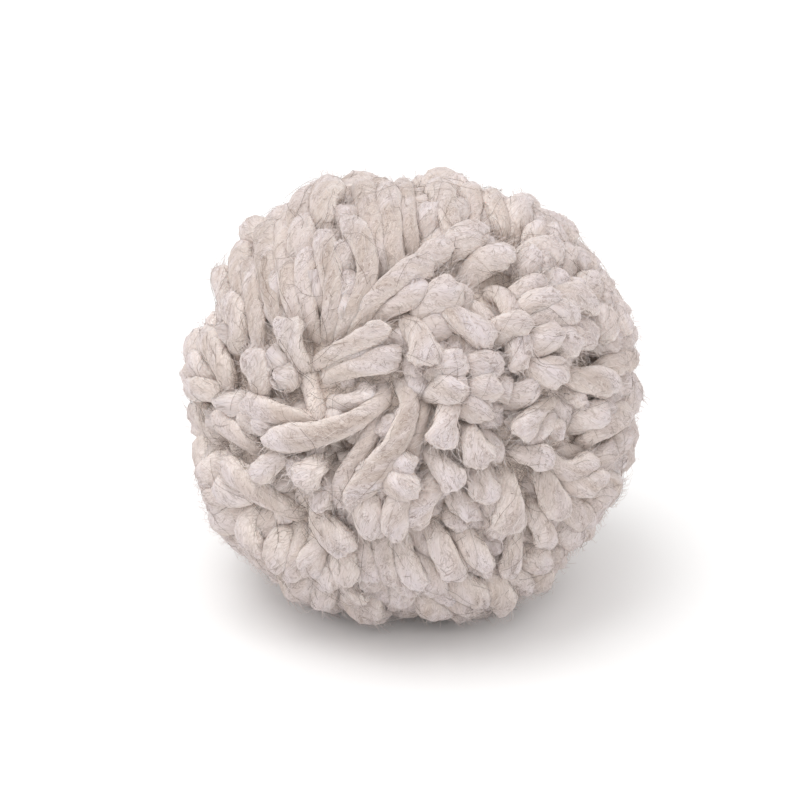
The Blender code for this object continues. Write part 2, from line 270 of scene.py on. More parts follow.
def partingEnds():
    return [unit(frontPoint(a, u, pile["partingDepth"]) - heartMiddle) for a, u in pile["partingEnds"]]


def clearOfTie(directions, leastShare):
    side = directions @ tieAxis
    moved = np.sign(side) * (leastShare + (1 - leastShare) * np.abs(side))
    flat = unit(directions - side[:, None] * tieAxis)
    return flat * np.sqrt(1 - moved**2)[:, None] + moved[:, None] * tieAxis


def layTufts(tips, away, direction):
    # which way the outer stretch of each strand lies: away from the parting, in uneven tufts
    chance = np.random.default_rng(pile["seed"] + 1)
    tufts = np.zeros_like(tips)
    for _ in range(8):
        wave = unit(chance.normal(size=3)) * 2 * math.pi / (pile["laySize"] * mm)
        tufts += np.sin(tips @ wave + chance.uniform(0, 6.3))[:, None] * unit(chance.normal(size=3))
    lay = unit(away) + tufts * pile["layUneven"]
    lay -= np.sum(lay * direction, axis=1, keepdims=True) * direction
    return unit(lay)


def standingStrands(tips, layOver=pile["layOver"]):
    # centre lines from the heart to the given places on the trimmed ball
    first, last = partingEnds()
    chord = last - first
    direction = unit(tips - heartMiddle)
    share = np.clip((direction - first) @ chord / (chord @ chord), 0, 1)
    origin = unit(first + share[:, None] * chord)
    angle = np.arccos(np.clip(np.sum(origin * direction, axis=1), -1, 1))
    step = direction - origin
    heading = np.degrees(np.arctan2(step @ upward, step @ across))
    fade = np.clip(1 - angle / math.radians(pile["partingReach"]), 0, 1)
    root = turned(origin, direction, 1 - leanAt(heading) * fade)
    root = clearOfTie(root, tie["strip"] / ball["heartRadius"])
    inner = heartRadius - pile["rootDepth"] * mm
    reach = np.linalg.norm(tips - heartMiddle, axis=1)
    behind = np.clip(np.degrees(angle) / 60 - 1, 0, 1)  # from 0 at 60 degrees off the parting to 1 at 120
    further = (pile["layBehind"] - pile["layOver"]) * behind
    lay = layTufts(tips, direction - unit(first + last), direction) * (layOver + further)[:, None] * mm
    lines = []
    for s in np.linspace(0, 1, pile["points"]):
        spot = turned(root, direction, np.full(len(tips), s ** pile["leanDelay"]))
        line = heartMiddle + spot * (inner + (reach - inner) * s**0.85)[:, None]
        lines.append(line - lay * math.sin(math.pi * s**1.5))
    return np.stack(lines, axis=1)


def tieArc():
    # the stretch of the tie that shows, from the middle of the ball
    side = unit(np.cross(tieAxis, towards))
    front = np.cross(side, tieAxis)
    front = front * np.sign(front @ towards)
    angles = np.radians(np.linspace(*tie["showing"], 15))[:, None]
    return heartMiddle - ballMiddle + tieLoop * (np.cos(angles) * front + np.sin(angles) * side)


def fingerLine(places, sinks, aside=0.0, lower=0.0):
    # from the heart out to the root, past the bend, to the cut end; a strand of the layer below lies
    # aside and lower
    run = np.array(places[2]) - np.array(places[0])
    beside = np.array((-run[1], run[0])) / np.hypot(*run) * aside
    root, bend, end = (
        frontPoint(a + beside[0], u + beside[1], sink + lower) for (a, u), sink in zip(places, sinks)
    )
    deep = root + (heartMiddle - root) * 0.22
    via = bend * 2 - (root + end) * 0.5
    inHeart = 0.12  # share of the line that runs up to the root
    line = []
    for s in np.linspace(0, 1, pile["points"]):
        t = max(0.0, (s - inHeart) / (1 - inHeart))
        spot = root * (1 - t) ** 2 + via * 2 * t * (1 - t) + end * t * t
        line.append(spot if s >= inHeart else deep + (root - deep) * s / inHeart)
    return np.array(line)


def inFrontOf(lines, bodies, width, ahead):
    # which strands the camera sees in front of these places, within a width of them, in millimetres
    covering = np.zeros(len(lines), bool)
    for k in range(lines.shape[1]):
        spot = lines[:, k] - ballMiddle
        beside = np.hypot(
            (spot @ across)[:, None] - bodies @ across, (spot @ upward)[:, None] - bodies @ upward
        )
        facing = (spot @ towards)[:, None] > bodies @ towards + ahead * mm
        covering |= ((beside < width * mm) & facing).any(axis=1)
    return covering


def hidesTie(lines):
    return inFrontOf(lines[:, 3:], tieArc(), tie["clearance"], -2)


def standBack(places):
    # directions from the ball's middle, opened up round the parting
    directions = unit(places - ballMiddle)
    first, last = partingEnds()
    middle = unit(first + last)
    fromHeart = unit(places - heartMiddle)
    angle = np.arccos(np.clip(fromHeart @ middle, -1, 1))
    opening = math.radians(pile["partingOpening"]) * np.exp(-angle / 0.5) / np.maximum(angle, 0.05)
    opened = turned(np.repeat(middle[None], len(places), 0), fromHeart, 1 + opening)
    before, after = (unit(heartMiddle + way * 0.04 - ballMiddle) for way in (fromHeart, opened))
    return np.where((angle < 1.2)[:, None], unit(directions + (after - before)), directions)


def layOutPile():
    chance = np.random.default_rng(pile["seed"])
    give = pile["give"]
    lines, girths, gives, endSpots, body, under = [], [], [], [], [], []
    for _, ra, ru, ba, bu, ea, eu, rootSink, bendSink, endSink, girth in fingers:
        route = ((ra, ru), (ba, bu), (ea, eu)), (rootSink, bendSink, endSink)
        line = fingerLine(*route)
        lines.append(line)
        girths.append(girth)
        gives.append(give["placed"])
        endSpots.append(line[-1])
        body.extend(line[3:])
        under.extend(fingerLine(*route, aside, pile["underLower"]) for aside in pile["underAside"])
    under = np.array(under)
    under = under[~hidesTie(under)]
    lines.extend(under)
    girths.extend([pile["underGirth"]] * len(under))
    gives.extend([give["under"]] * len(under))
    laid = len(lines)
    knobTips = np.array([frontPoint(a, u, pile["knobSink"]) for _, a, u, _ in knobs])
    lines.extend(standingStrands(knobTips, pile["knobLayOver"]))
    girths.extend(girth for _, _, _, girth in knobs)
    gives.extend([give["knob"]] * len(knobs))
    endSpots.extend(knobTips)

    places = ballMiddle + evenDirections(pile["count"]) * (pile["spread"] * mm)
    places += chance.normal(size=places.shape) * pile["stray"] * mm * 0.7
    places += clumpField(places, chance)
    directions = standBack(places)
    reach = trimReach(directions) + chance.uniform(-1, 1, len(directions)) * pile["lengthSpread"] * mm
    tips = ballMiddle + directions * (reach - pile["trimmedBack"] * mm)[:, None]
    # those that would lie in front of a placed strand end under it
    covering = inFrontOf(standingStrands(tips)[:, 6:], np.array(body) - ballMiddle, 3.0, -0.5)
    lowered = tips - unit(tips - ballMiddle) * pile["underSink"] * mm
    tips = np.where(covering[:, None], lowered, tips)
    # leave the tie in sight in the mouth of the parting
    kept = ~hidesTie(standingStrands(tips))
    tips, covering = tips[kept], covering[kept]
    # leave out ends that the placed strands already fill
    tree = KDTree(len(endSpots) + len(body))
    for i, spot in enumerate(list(endSpots) + list(body)):
        tree.insert(Vector(spot), i)
    tree.balance()
    near = np.array([tree.find(Vector(tip))[2] for tip in tips])
    tips = tips[near > np.where(covering, *pile["room"]) * mm]
    middle, spread, least, most = pile["girthSpread"]
    lines.extend(standingStrands(tips))
    girths.extend(chance.normal(middle, spread, len(tips)).clip(least, most))
    gives.extend([give["free"]] * len(tips))
    swell = chance.uniform(*pile["swell"], len(lines))
    swell[:len(fingers)] = chance.uniform(*pile["placedSwell"], len(fingers))
    return np.array(lines), np.array(girths), np.array(gives), swell, laid, chance


def girthAlong(share, swell):
    # thin in the heart, fuller outwards, splayed before the cut end
    plain = np.interp(share, (0, 0.35, 0.65, 0.9, 1.0), (0.78, 0.88, 1.02, 1.20, 1.22))
    atEnd = np.interp(share, (0, 0.6, 0.9, 1.0), (0, 0, 1, 1))
    return plain[None] * (1 + (swell[:, None] - 1) * atEnd[None])


def neighbourPairs(points, owner, reach):
    tree = KDTree(len(points))
    for i, point in enumerate(points):
        tree.insert(Vector(point), i)
    tree.balance()
    firsts, seconds = [], []
    for i, point in enumerate(points):
        for _, j, _ in tree.find_range(Vector(point), reach):
            if j > i and owner[i] != owner[j]:
                firsts.append(i)
                seconds.append(j)
    return np.array(firsts), np.array(seconds)


pressing = {
    "steps": 70,
    "lookAgain": 10,  # steps between two looks for neighbours
    "neighbourReach": 7.0,
    "push": 0.42,  # share of an overlap that one step takes out
    "mostAtOnce": 0.9,
    "straighten": 0.16,
    "pullToPlace": 0.10,
    "holdBack": 0.30,  # of a placed strand, to where it was laid
    "offTie": 0.6,  # the most that one step lifts a strand off the tie
}


def pressApart(lines, firsts, seconds, radius, mobility):
    flat, flatRadius, flatMobility = lines.reshape(-1, 3), radius.ravel(), mobility.ravel()
    gap = flat[firsts] - flat[seconds]
    distance = np.maximum(np.linalg.norm(gap, axis=1), 1e-6)
    overlap = flatRadius[firsts] + flatRadius[seconds] - distance
    touching = overlap > 0
    a, b = firsts[touching], seconds[touching]
    push = gap[touching] / distance[touching, None] * overlap[touching, None] * pressing["push"]
    total = flatMobility[a] + flatMobility[b] + 1e-6
    move = np.zeros_like(flat)
    np.add.at(move, a, push * (flatMobility[a] / total)[:, None])
    np.add.at(move, b, -push * (flatMobility[b] / total)[:, None])
    size = np.linalg.norm(move, axis=1, keepdims=True)
    move *= np.minimum(1, pressing["mostAtOnce"] * mm / np.maximum(size, 1e-9))
    return (flat + move).reshape(lines.shape)


def liftOffTie(lines, radius, mobility):
    fromHeart = lines - heartMiddle
    rise = fromHeart @ tieAxis
    level = fromHeart - rise[..., None] * tieAxis
    out = np.linalg.norm(level, axis=2)
    around = level / out[..., None]
    fromTie = around * (out - tieLoop)[..., None] + rise[..., None] * tieAxis
    distance = np.maximum(np.linalg.norm(fromTie, axis=2), 1e-6)
    overlap = np.clip(radius * 0.9 + tie["radius"] * mm - distance, 0, pressing["offTie"] * mm)
    return lines + fromTie / distance[..., None] * (overlap * (mobility > 0))[..., None]


def keepInBall(lines, radius):
    # inside the trimmed ball, and above the floor
    fromBall = lines - ballMiddle
    out = np.linalg.norm(fromBall, axis=2)
    limit = trimReach((fromBall / out[..., None]).reshape(-1, 3)).reshape(out.shape) - radius * 0.8
    lines = ballMiddle + fromBall * np.minimum(1, (limit + pile["trimmedBack"] * mm) / out)[..., None]
    lines[..., 2] = np.maximum(lines[..., 2], radius * 0.55)
    return lines


def settle(lines, girths, gives, swell):
    # presses the strands apart until they lie side by side, as full as the ball allows
    count, points = lines.shape[:2]
    radius = girths[:, None] * girthAlong(np.linspace(0, 1, points), swell) * pile["girth"] * mm
    lengths = np.linalg.norm(np.diff(lines, axis=1), axis=2)
    target = lines[:, -1].copy()
    start = lines.copy()
    owner = np.repeat(np.arange(count), points)
    mobility = np.repeat(gives[:, None], points, 1)
    mobility[:, 0] = 0
    mobility[:, 1] *= 0.4
    for step in range(pressing["steps"]):
        if step % pressing["lookAgain"] == 0:
            pairs = neighbourPairs(lines.reshape(-1, 3), owner, pressing["neighbourReach"] * mm)
        lines = pressApart(lines, *pairs, radius, mobility)
        lines = liftOffTie(lines, radius, mobility)
        # an even bend, the strand's own length, and its end near its place
        bent = (lines[:, :-2] + lines[:, 2:]) * 0.5 - lines[:, 1:-1]
        lines[:, 1:-1] += bent * pressing["straighten"]
        lines[:, -1] += (target - lines[:, -1]) * pressing["pullToPlace"]
        lines += (start - lines) * ((1 - gives) * pressing["holdBack"])[:, None, None]
        for k in range(points - 1):
            run = lines[:, k + 1] - lines[:, k]
            length = np.maximum(np.linalg.norm(run, axis=1), 1e-6)
            lines[:, k + 1] = lines[:, k] + run * (lengths[:, k] / length)[:, None]
        lines = keepInBall(lines, radius)
    return lines, radius


def smoothLines(lines, radius, start):
    # a finer centre line from just inside the matted heart, closer together at the rounded cut end
    ends = (0.82, 0.885, 0.93, 0.965, 0.988, 1.0)
    along = np.concatenate((np.linspace(start, 0.75, 10 if start == 0 else 6), ends))
    dome = np.interp(along, ends, (1.0, 0.95, 0.85, 0.69, 0.46, 0.16))
    points = lines.shape[1]
    spot = along * (points - 1)
    k = np.clip(np.floor(spot).astype(int), 0, points - 2)
    t = (spot - k)[None, :, None]
    before = lines[:, np.maximum(k - 1, 0)]
    p1 = lines[:, k]
    p2 = lines[:, k + 1]
    after = lines[:, np.minimum(k + 2, points - 1)]
    fine = 0.5 * (2 * p1 + (p2 - before) * t + (2 * before - 5 * p1 + 4 * p2 - after) * t**2
                  + (3 * p1 - before - 3 * p2 + after) * t**3)
    girth = radius[:, k] + (radius[:, k + 1] - radius[:, k]) * t[..., 0]
    return fine, girth * dome[None]


print("laying out the pile")
lines, girths, gives, swell, laid, chance = layOutPile()
print("pressing", len(lines), "strands apart")
lines, radius = settle(lines, girths, gives, swell)
# the placed strands stay on top
placedBodies = (lines[:len(fingers), 1:] - ballMiddle).reshape(-1, 3)
covering = inFrontOf(lines[:, 4:], placedBodies, 2.3, 0.4)
covering[:len(fingers)] = False
covering[laid:laid + len(knobs)] = False
laid -= covering[:laid].sum()
lines, radius = lines[~covering], radius[~covering]
print("strands kept:", len(lines))
laidPoints, laidGirth = smoothLines(lines[:laid], radius[:laid], 0.0)
standingPoints, standingGirth = smoothLines(lines[laid:], radius[laid:], 0.42)


def linear(colour):
    channels = [int(colour[i:i + 2], 16) / 255 for i in (1, 3, 5)]
    return tuple(c / 12.92 if c <= 0.04045 else ((c + 0.055) / 1.055) ** 2.4 for c in channels) + (1.0,)


def addNode(tree, kind, *values, give=None, **settings):
    # one node with its settings; its inputs are filled in order or, from a dictionary, by name, and it
    # hands back its first output or the one asked for
    families = ("GeometryNode", "FunctionNode", "ShaderNode", "Node")
    family = next(family for family in families if hasattr(bpy.types, family + kind))
    node = tree.nodes.new(family + kind)
    for name, value in settings.items():
        setattr(node, name, value)
    inOrder = iter([socket for socket in node.inputs if socket.enabled])
    for value in values:
        byName = value if isinstance(value, dict) else {None: value}
        for name, given in byName.items():
            socket = node.inputs[name] if name else next(inOrder)
            if isinstance(given, bpy.types.NodeSocket):
                tree.links.new(given, socket)
            else:
                socket.default_value = given
    if give:
        return node.outputs[give]
    return next((socket for socket in node.outputs if socket.enabled), None)


def newMaterial(name, sockets):
    material = bpy.data.materials.new(name)
    material.use_nodes = True
    tree = material.node_tree
    shader = tree.nodes["Principled BSDF"]
    for socket, value in sockets.items():
        shader.inputs[socket].default_value = value
    return material, tree, shader


rovingWool = {
    "sockets": {
        "Roughness": 0.92, "Specular IOR Level": 0.25, "Subsurface Weight": 0.35,
        "Subsurface Radius": (1.0, 0.85, 0.75), "Subsurface Scale": 0.0012,
        "Sheen Weight": 0.25, "Sheen Roughness": 0.5, "Sheen Tint": linear("#fff4ee"),
    },
    # the darker and the paler tone of the spun strand, the darker one partly painted shade in the grooves of
    # its fibres, and the loose fibre of its cut ends
    "pile": ("#a89990", "#c5b7b0", "#d5cccf"),
    "tie": ("#d6c9c1", "#eadfd9", "#ebe2df"),
    "toneStops": (0.36, 0.72),
    # waves a metre across and along the strand, with detail and roughness. Wool fibres are 0.03 mm thick,
    # too fine to show, so they are drawn as locks of 0.2 mm
    "streaks": ((4600, 4600, 150), 3.0, 0.65),
    "wisps": ((1500, 1500, 140), 2.0, 0.6),  # 0.7 mm
    "clouds": ((800, 800, 180), 2.0),  # 1.2 mm
    "fluffPatches": ((300, 300, 130), 2.0),  # 3 mm
    "hairPatches": ((420, 420, 300), 1.0),
    "net": ((1500, 1500, 900), 0.15),  # and how much of a mesh its threads fill
    # how much each makes of the tone, and of the relief: where streaks and wisps sink the relief they darken
    # the tone, as painted shade in its grooves
    "toneShares": {"clouds": 0.30, "strand": 0.20, "streaks": 0.32, "wisps": 0.34},
    "reliefShares": {"streaks": 0.35, "whiteHair": 0.25},
    "relief": 0.32,
    # colour, and how much it covers
    "whiteHair": ("#e6ded9", 0.32),
    "brownHair": ("#86756c", 0.72),
    # near white over the wool low in the pile and on the flanks: partly its creamier tone, partly painted
    # light that brightens the hollows
    "covered": ("#fdf4ee", 0.95),
    "netThread": ("#a08b7e", 0.55),
    # hairs along the strand: waves a metre, and how wide a hair is
    "longHairs": ((800, 800, 360), 0.026),
    "longHairShare": 0.55,
    "paleHairs": ((900, 900, 230), 0.035),
    # the curly brown hairs, in three layers: shift, scale, width, curl, and how bare of them the wool is
    "curlyHairs": (
        ((0.73, 0.57, 0.2), (560, 560, 430), 0.020, 0.8, 0.44),
        ((0.41, 0.29, 0.9), (700, 700, 520), 0.024, 1.0, 0.46),
        ((0.11, 0.93, 0.6), (1200, 1200, 900), 0.034, 1.4, 0.52),
    ),
}


def makeRovingWool(name, darker, paler, cutEnd):
    # undyed wool roving, carded and barely spun: soft, matt, with fine fibres along each strand
    wool = rovingWool
    material, tree, shader = newMaterial(name, wool["sockets"])
    add = partial(addNode, tree)

    def grain(place, scale, detail, roughness=0.5, distortion=0.0):
        # an uneven pattern stretched along the strand
        spread = add("Mapping", {"Vector": place, "Scale": scale})
        return add("TexNoise", {"Vector": spread, "Scale": 1.0, "Detail": detail, "Roughness": roughness,
                                "Distortion": distortion})

    def strayFibres(place, scale, width, curl=0.0):
        # single fibres over the strand: the level lines of a slow pattern, a fifth of a millimetre wide
        off = add("Math", grain(place, scale, 1.0, 0.5, curl), 0.5, operation="SUBTRACT")
        off = add("Math", add("Math", off, operation="ABSOLUTE"), width, operation="DIVIDE")
        return add("Math", add("Math", 1.0, off, operation="SUBTRACT"), 0.0, operation="MAXIMUM")

    fibre = add("Attribute", attribute_name="fibreSpace", give="Vector")
    strand, tip, deep, openness = (
        add("Attribute", attribute_name=label, give="Fac")
        for label in ("strandTone", "fluff", "pileDepth", "openness")
    )
    # the fibres wander a little as they run along the strand
    sway = add("Mapping", {"Vector": fibre, "Scale": (330, 330, 260)})
    sway = add("TexNoise", {"Vector": sway, "Scale": 1.0, "Detail": 2.0}, give="Color")
    sway = add("VectorMath", sway, (0.5, 0.5, 0.5), operation="SUBTRACT")
    sway = add("VectorMath", sway, (0.0032, 0.0032, 0.0), operation="MULTIPLY")
    wavy = add("VectorMath", fibre, sway)
    streak = grain(wavy, *wool["streaks"])
    wisps = grain(wavy, *wool["wisps"])
    cloud = grain(fibre, *wool["clouds"])
    # the tone mixes random cloud and strand tones with the streaks and wisps of the relief, which paint
    # shade into its grooves
    shares = wool["toneShares"]
    tone = add("Math", cloud, shares["clouds"], operation="MULTIPLY")
    for part, label in ((strand, "strand"), (streak, "streaks"), (wisps, "wisps")):
        tone = add("Math", part, shares[label], tone, operation="MULTIPLY_ADD")
    colour = add("ValToRGB", tone)
    for stop, place, shade in zip(colour.node.color_ramp.elements, wool["toneStops"], (darker, paler)):
        stop.position, stop.color = place, linear(shade)
    # the loose fibre is paler and cooler than the spun strand, most of all at the cut ends
    patches = add("Math", streak, 0.4, operation="MULTIPLY")
    patches = add("Math", grain(fibre, *wool["fluffPatches"]), 1.3, patches, operation="MULTIPLY_ADD")
    fluffy = add("MapRange", add("Math", tip, 0.42, patches, operation="MULTIPLY_ADD"), 0.78, 1.35, 0.0, 0.8)
    # long brown hairs where the wool is clouded, and curly ones in patches
    shifted = add("VectorMath", wavy, (0.31, 0.17, 0.0))
    clouded = add("Math", cloud, 0.49, operation="GREATER_THAN")
    brown = add("Math", strayFibres(shifted, *wool["longHairs"]), clouded, operation="MULTIPLY")
    brown = add("Math", brown, wool["longHairShare"], operation="MULTIPLY")
    for shift, scale, width, curl, bare in wool["curlyHairs"]:
        shifted = add("VectorMath", wavy, shift)
        patch = add("Math", grain(shifted, *wool["hairPatches"]), bare, operation="GREATER_THAN")
        hairs = add("Math", strayFibres(shifted, scale, width, curl), patch, operation="MULTIPLY")
        brown = add("Math", brown, hairs, operation="MAXIMUM")
    white = strayFibres(wavy, *wool["paleHairs"])
    # creamier low in the pile and on the flanks, where the strands cover each other, and lifted there near
    # to white as painted light that brightens the hollows; felted over there with a net of brown fibres
    covered = add("Math", 0.9, openness, operation="SUBTRACT")
    covered = add("Math", deep, covered, operation="MAXIMUM")
    scale, thread = wool["net"]
    meshes = add("Mapping", {"Vector": wavy, "Scale": scale})
    meshes = add("TexVoronoi", {"Vector": meshes, "Scale": 1.0}, feature="DISTANCE_TO_EDGE")
    net = add("Math", 1.0, add("Math", meshes, thread, operation="DIVIDE"), operation="SUBTRACT")
    net = add("Math", net, 0.0, operation="MAXIMUM")
    colour = add("Mix", fluffy, colour, linear(cutEnd), data_type="RGBA")
    for part, label in ((white, "whiteHair"), (brown, "brownHair"), (covered, "covered")):
        shade, share = wool[label]
        share = add("Math", part, share, operation="MULTIPLY")
        colour = add("Mix", share, colour, linear(shade), data_type="RGBA")
    shade, share = wool["netThread"]
    share = add("Math", net, add("Math", covered, share, operation="MULTIPLY"), operation="MULTIPLY")
    colour = add("Mix", share, colour, linear(shade), data_type="RGBA")
    tree.links.new(colour, shader.inputs["Base Color"])
    relief = wisps
    for part, label in ((streak, "streaks"), (white, "whiteHair")):
        relief = add("Math", part, wool["reliefShares"][label], relief, operation="MULTIPLY_ADD")
    relief = add("Bump", {"Height": relief, "Strength": wool["relief"], "Distance": 0.5 * mm})
    tree.links.new(relief, shader.inputs["Normal"])
    return material


def makeHairWool(name, darker, paler, roughness):
    # single wool fibres: a little glossier than the roving, each one of its own tone
    material, tree, shader = newMaterial(name, {"Roughness": roughness, "Specular IOR Level": 0.3})
    tone = addNode(tree, "Attribute", attribute_name="hairTone", give="Fac")
    colour = addNode(tree, "ValToRGB", tone)
    for stop, shade in zip(colour.node.color_ramp.elements, (darker, paler)):
        stop.color = linear(shade)
    tree.links.new(colour, shader.inputs["Base Color"])
    return material


def makeMattedWool():
    # the same undyed wool, matted between the strands: a dull, uneven felt. Its fibres are drawn as
    # clumps of 0.9 mm
    material, tree, shader = newMaterial("mattedWool", {"Roughness": 0.95, "Specular IOR Level": 0.2})
    add = partial(addNode, tree)
    clumps = add("TexNoise", {"Vector": add("TexCoord", give="Object"), "Scale": 1100.0, "Detail": 4.0,
                              "Roughness": 0.7, "Distortion": 0.8})
    colour = add("ValToRGB", clumps)
    for stop, place, shade in zip(colour.node.color_ramp.elements, (0.35, 0.65), ("#d3c2b7", "#f2e7df")):
        stop.position, stop.color = place, linear(shade)
    tree.links.new(colour, shader.inputs["Base Color"])
    relief = add("Bump", {"Height": clumps, "Strength": 0.8, "Distance": 0.5 * mm})
    tree.links.new(relief, shader.inputs["Normal"])
    return material


print("making the wools")
pileWool = makeRovingWool("undyedRovingWool", *rovingWool["pile"])
mattedWool = makeMattedWool()
tieWool = makeRovingWool("undyedTieWool", *rovingWool["tie"])
paleFibre = makeHairWool("paleWoolFibre", "#cfc1bc", "#e6dddb", 0.8)
greyFibre = makeHairWool("greyWoolFibre", "#8f8076", "#eae0da", 0.8)
darkFibre = makeHairWool("darkWoolFibre", "#66574e", "#a89a90", 0.7)


def newTree(name, sizes):
    # a geometry tree whose sizes are named inputs
    tree = bpy.data.node_groups.new(name, "GeometryNodeTree")
    tree.interface.new_socket("Geometry", in_out="INPUT", socket_type="NodeSocketGeometry")
    tree.interface.new_socket("Geometry", in_out="OUTPUT", socket_type="NodeSocketGeometry")
    for kind, names in sizes.items():
        for size in names:
            tree.interface.new_socket(size, in_out="INPUT", socket_type="NodeSocket" + kind)
    return tree, partial(addNode, tree), addNode(tree, "GroupInput").node.outputs


def applyTree(name, mesh, tree, values):
    # runs a tree on a mesh, keeps the result as a plain mesh and hands it over
    carrier = bpy.data.objects.new(name + "Carrier", mesh)
    bpy.context.scene.collection.objects.link(carrier)
    modifier = carrier.modifiers.new(name, "NODES")
    modifier.node_group = tree
    sockets = {item.name: item.identifier for item in tree.interface.items_tree if item.in_out == "INPUT"}
    for size, value in values.items():
        modifier[sockets[size]] = value
    depsgraph = bpy.context.evaluated_depsgraph_get()
    plain = bpy.data.meshes.new_from_object(carrier.evaluated_get(depsgraph))
    plain.name = name
    carrier.modifiers.clear()
    bpy.data.objects.remove(carrier)
    piece = bpy.data.objects.new(name, plain)
    bpy.context.scene.collection.objects.link(piece)
    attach(piece, "root")
    print(name, "triangles:", sum(len(p.vertices) - 2 for p in plain.polygons))
    return piece


def strandTree():
    tree, add, size = newTree("rovingStrands", {
        "Int": ("Sides",), "Float": ("Twist", "Lump", "Lobe", "Ragged"), "Material": ("Material",),
    })
    girth, along, shift, tipness = (
        add("InputNamedAttribute", label, data_type="FLOAT")
        for label in ("girth", "along", "strandShift", "tipness")
    )
    around, runs = (
        add("InputNamedAttribute", label, data_type="FLOAT_VECTOR") for label in ("around", "grain")
    )
    place, normal = add("InputPosition"), add("InputNormal")
    curve = add("MeshToCurve", {"Mesh": size["Geometry"]})
    circle = add("CurvePrimitiveCircle", {"Resolution": size["Sides"], "Radius": 1.0})
    marked = add("StoreNamedAttribute", {"Geometry": circle, "Name": "around", "Value": place},
                 data_type="FLOAT_VECTOR")
    wool = add("CurveToMesh", {"Curve": curve, "Profile Curve": marked, "Scale": girth, "Fill Caps": True})
    # each strand's own straightened space, slowly twisted, so that fibres run along it with a soft turn
    angle = add("Math", along, size["Twist"], operation="MULTIPLY")
    turn = add("VectorRotate", {"Vector": around, "Angle": angle}, rotation_type="Z_AXIS")
    fibre = add("VectorMath", turn, girth, operation="SCALE")
    fibre = add("VectorMath", fibre, add("CombineXYZ", {"Z": along}))
    fibre = add("VectorMath", fibre, add("CombineXYZ", {"X": shift, "Y": shift}))
    wool = add("StoreNamedAttribute", {"Geometry": wool, "Name": "fibreSpace", "Value": fibre},
               data_type="FLOAT_VECTOR")
    # soft lumps and grooves of the barely spun roving, and two soft lobes turning with the twist
    spread = add("VectorMath", fibre, (420, 420, 110), operation="MULTIPLY")
    lump = add("TexNoise", {"Vector": spread, "Scale": 1.0, "Detail": 1.5})
    lump = add("Math", add("Math", lump, 0.5, operation="SUBTRACT"), size["Lump"], operation="MULTIPLY")
    side = add("SeparateXYZ", turn)
    lobe = add("Math", add("Math", side, side, operation="MULTIPLY"), 0.5, operation="SUBTRACT")
    lobeWidth = add("Math", girth, size["Lobe"], operation="MULTIPLY")
    sideways = add("Math", lobe, lobeWidth, lump, operation="MULTIPLY_ADD")
    # the cut end breaks up into small locks of uneven length
    ridges = add("VectorMath", fibre, (600, 600, 130), operation="MULTIPLY")
    ragged = add("TexNoise", {"Vector": ridges, "Scale": 1.0, "Detail": 1.0}, give="Color")
    ragged = add("SeparateXYZ", ragged).node.outputs
    wider, longer = (add("Math", ragged[k], 0.5, operation="SUBTRACT") for k in (0, 1))
    atTip = add("Math", tipness, size["Ragged"], operation="MULTIPLY")
    sideways = add("Math", wider, atTip, sideways, operation="MULTIPLY_ADD")
    longer = add("Math", longer, atTip, operation="MULTIPLY")
    offset = add("VectorMath", add("VectorMath", normal, sideways, operation="SCALE"),
                 add("VectorMath", runs, longer, operation="SCALE"))
    wool = add("SetPosition", {"Geometry": wool, "Offset": offset})
    # pressed flat where it stands on the floor
    standing = add("VectorMath", place, (-1, -1, 0.0001), operation="MAXIMUM")
    wool = add("SetPosition", {"Geometry": wool, "Position": standing})
    # 1 on the side of a strand that faces out of the ball, 0 on its flanks and underneath
    outward = add("VectorMath", place, tuple(ballMiddle), operation="SUBTRACT")
    outward = add("VectorMath", outward, operation="NORMALIZE")
    facing = add("VectorMath", outward, normal, operation="DOT_PRODUCT")
    openness = add("Math", facing, 0.0, operation="MAXIMUM")
    wool = add("StoreNamedAttribute", {"Geometry": wool, "Name": "openness", "Value": openness},
               data_type="FLOAT")
    wool = add("RealizeInstances", add("SetShadeSmooth", wool))
    add("GroupOutput", add("SetMaterial", {"Geometry": wool, "Material": size["Material"]}))
    return tree


def lineMesh(name, fine, girth, tone, shift, depth, closed=False):
    # centre lines as edges, with what the tree needs at each point
    count, points = fine.shape[:2]
    run = np.linalg.norm(np.diff(fine, axis=1), axis=2)
    along = np.concatenate((np.zeros((count, 1)), np.cumsum(run, axis=1)), axis=1)
    index = np.arange(count * points).reshape(count, points)
    edges = np.stack((index[:, :-1], index[:, 1:]), axis=-1).reshape(-1, 2)
    if closed:
        edges = np.concatenate((edges, [[points - 1, 0]]))
    mesh = bpy.data.meshes.new(name)
    mesh.from_pydata(fine.reshape(-1, 3).tolist(), edges.tolist(), [])
    fromEnd = along[:, -1:] - along
    tip = np.clip(1 - (fromEnd - 2.5 * mm) / (3.0 * mm), 0, 1) * (not closed)
    fluff = np.clip(1 - fromEnd / (11 * mm), 0, 1) * (not closed)
    for label, values in (("girth", girth), ("along", along), ("strandTone", tone), ("strandShift", shift),
                          ("pileDepth", depth), ("tipness", tip), ("fluff", fluff)):
        layer = mesh.attributes.new(label, "FLOAT", "POINT")
        everyPoint = np.broadcast_to(values, (count, points))
        layer.data.foreach_set("value", everyPoint.astype(np.float32).ravel())
    layer = mesh.attributes.new("grain", "FLOAT_VECTOR", "POINT")
    layer.data.foreach_set("vector", unit(np.gradient(fine, axis=1)).astype(np.float32).ravel())
    return mesh


def depthShade(points):
    # 0 at the trimmed surface, 1 deep in the pile
    fromBall = points - ballMiddle
    out = np.linalg.norm(fromBall, axis=-1)
    reach = trimReach(unit(fromBall).reshape(-1, 3)).reshape(out.shape)
    return np.clip((reach - out - 3.5 * mm) / (10.0 * mm), 0, 1)


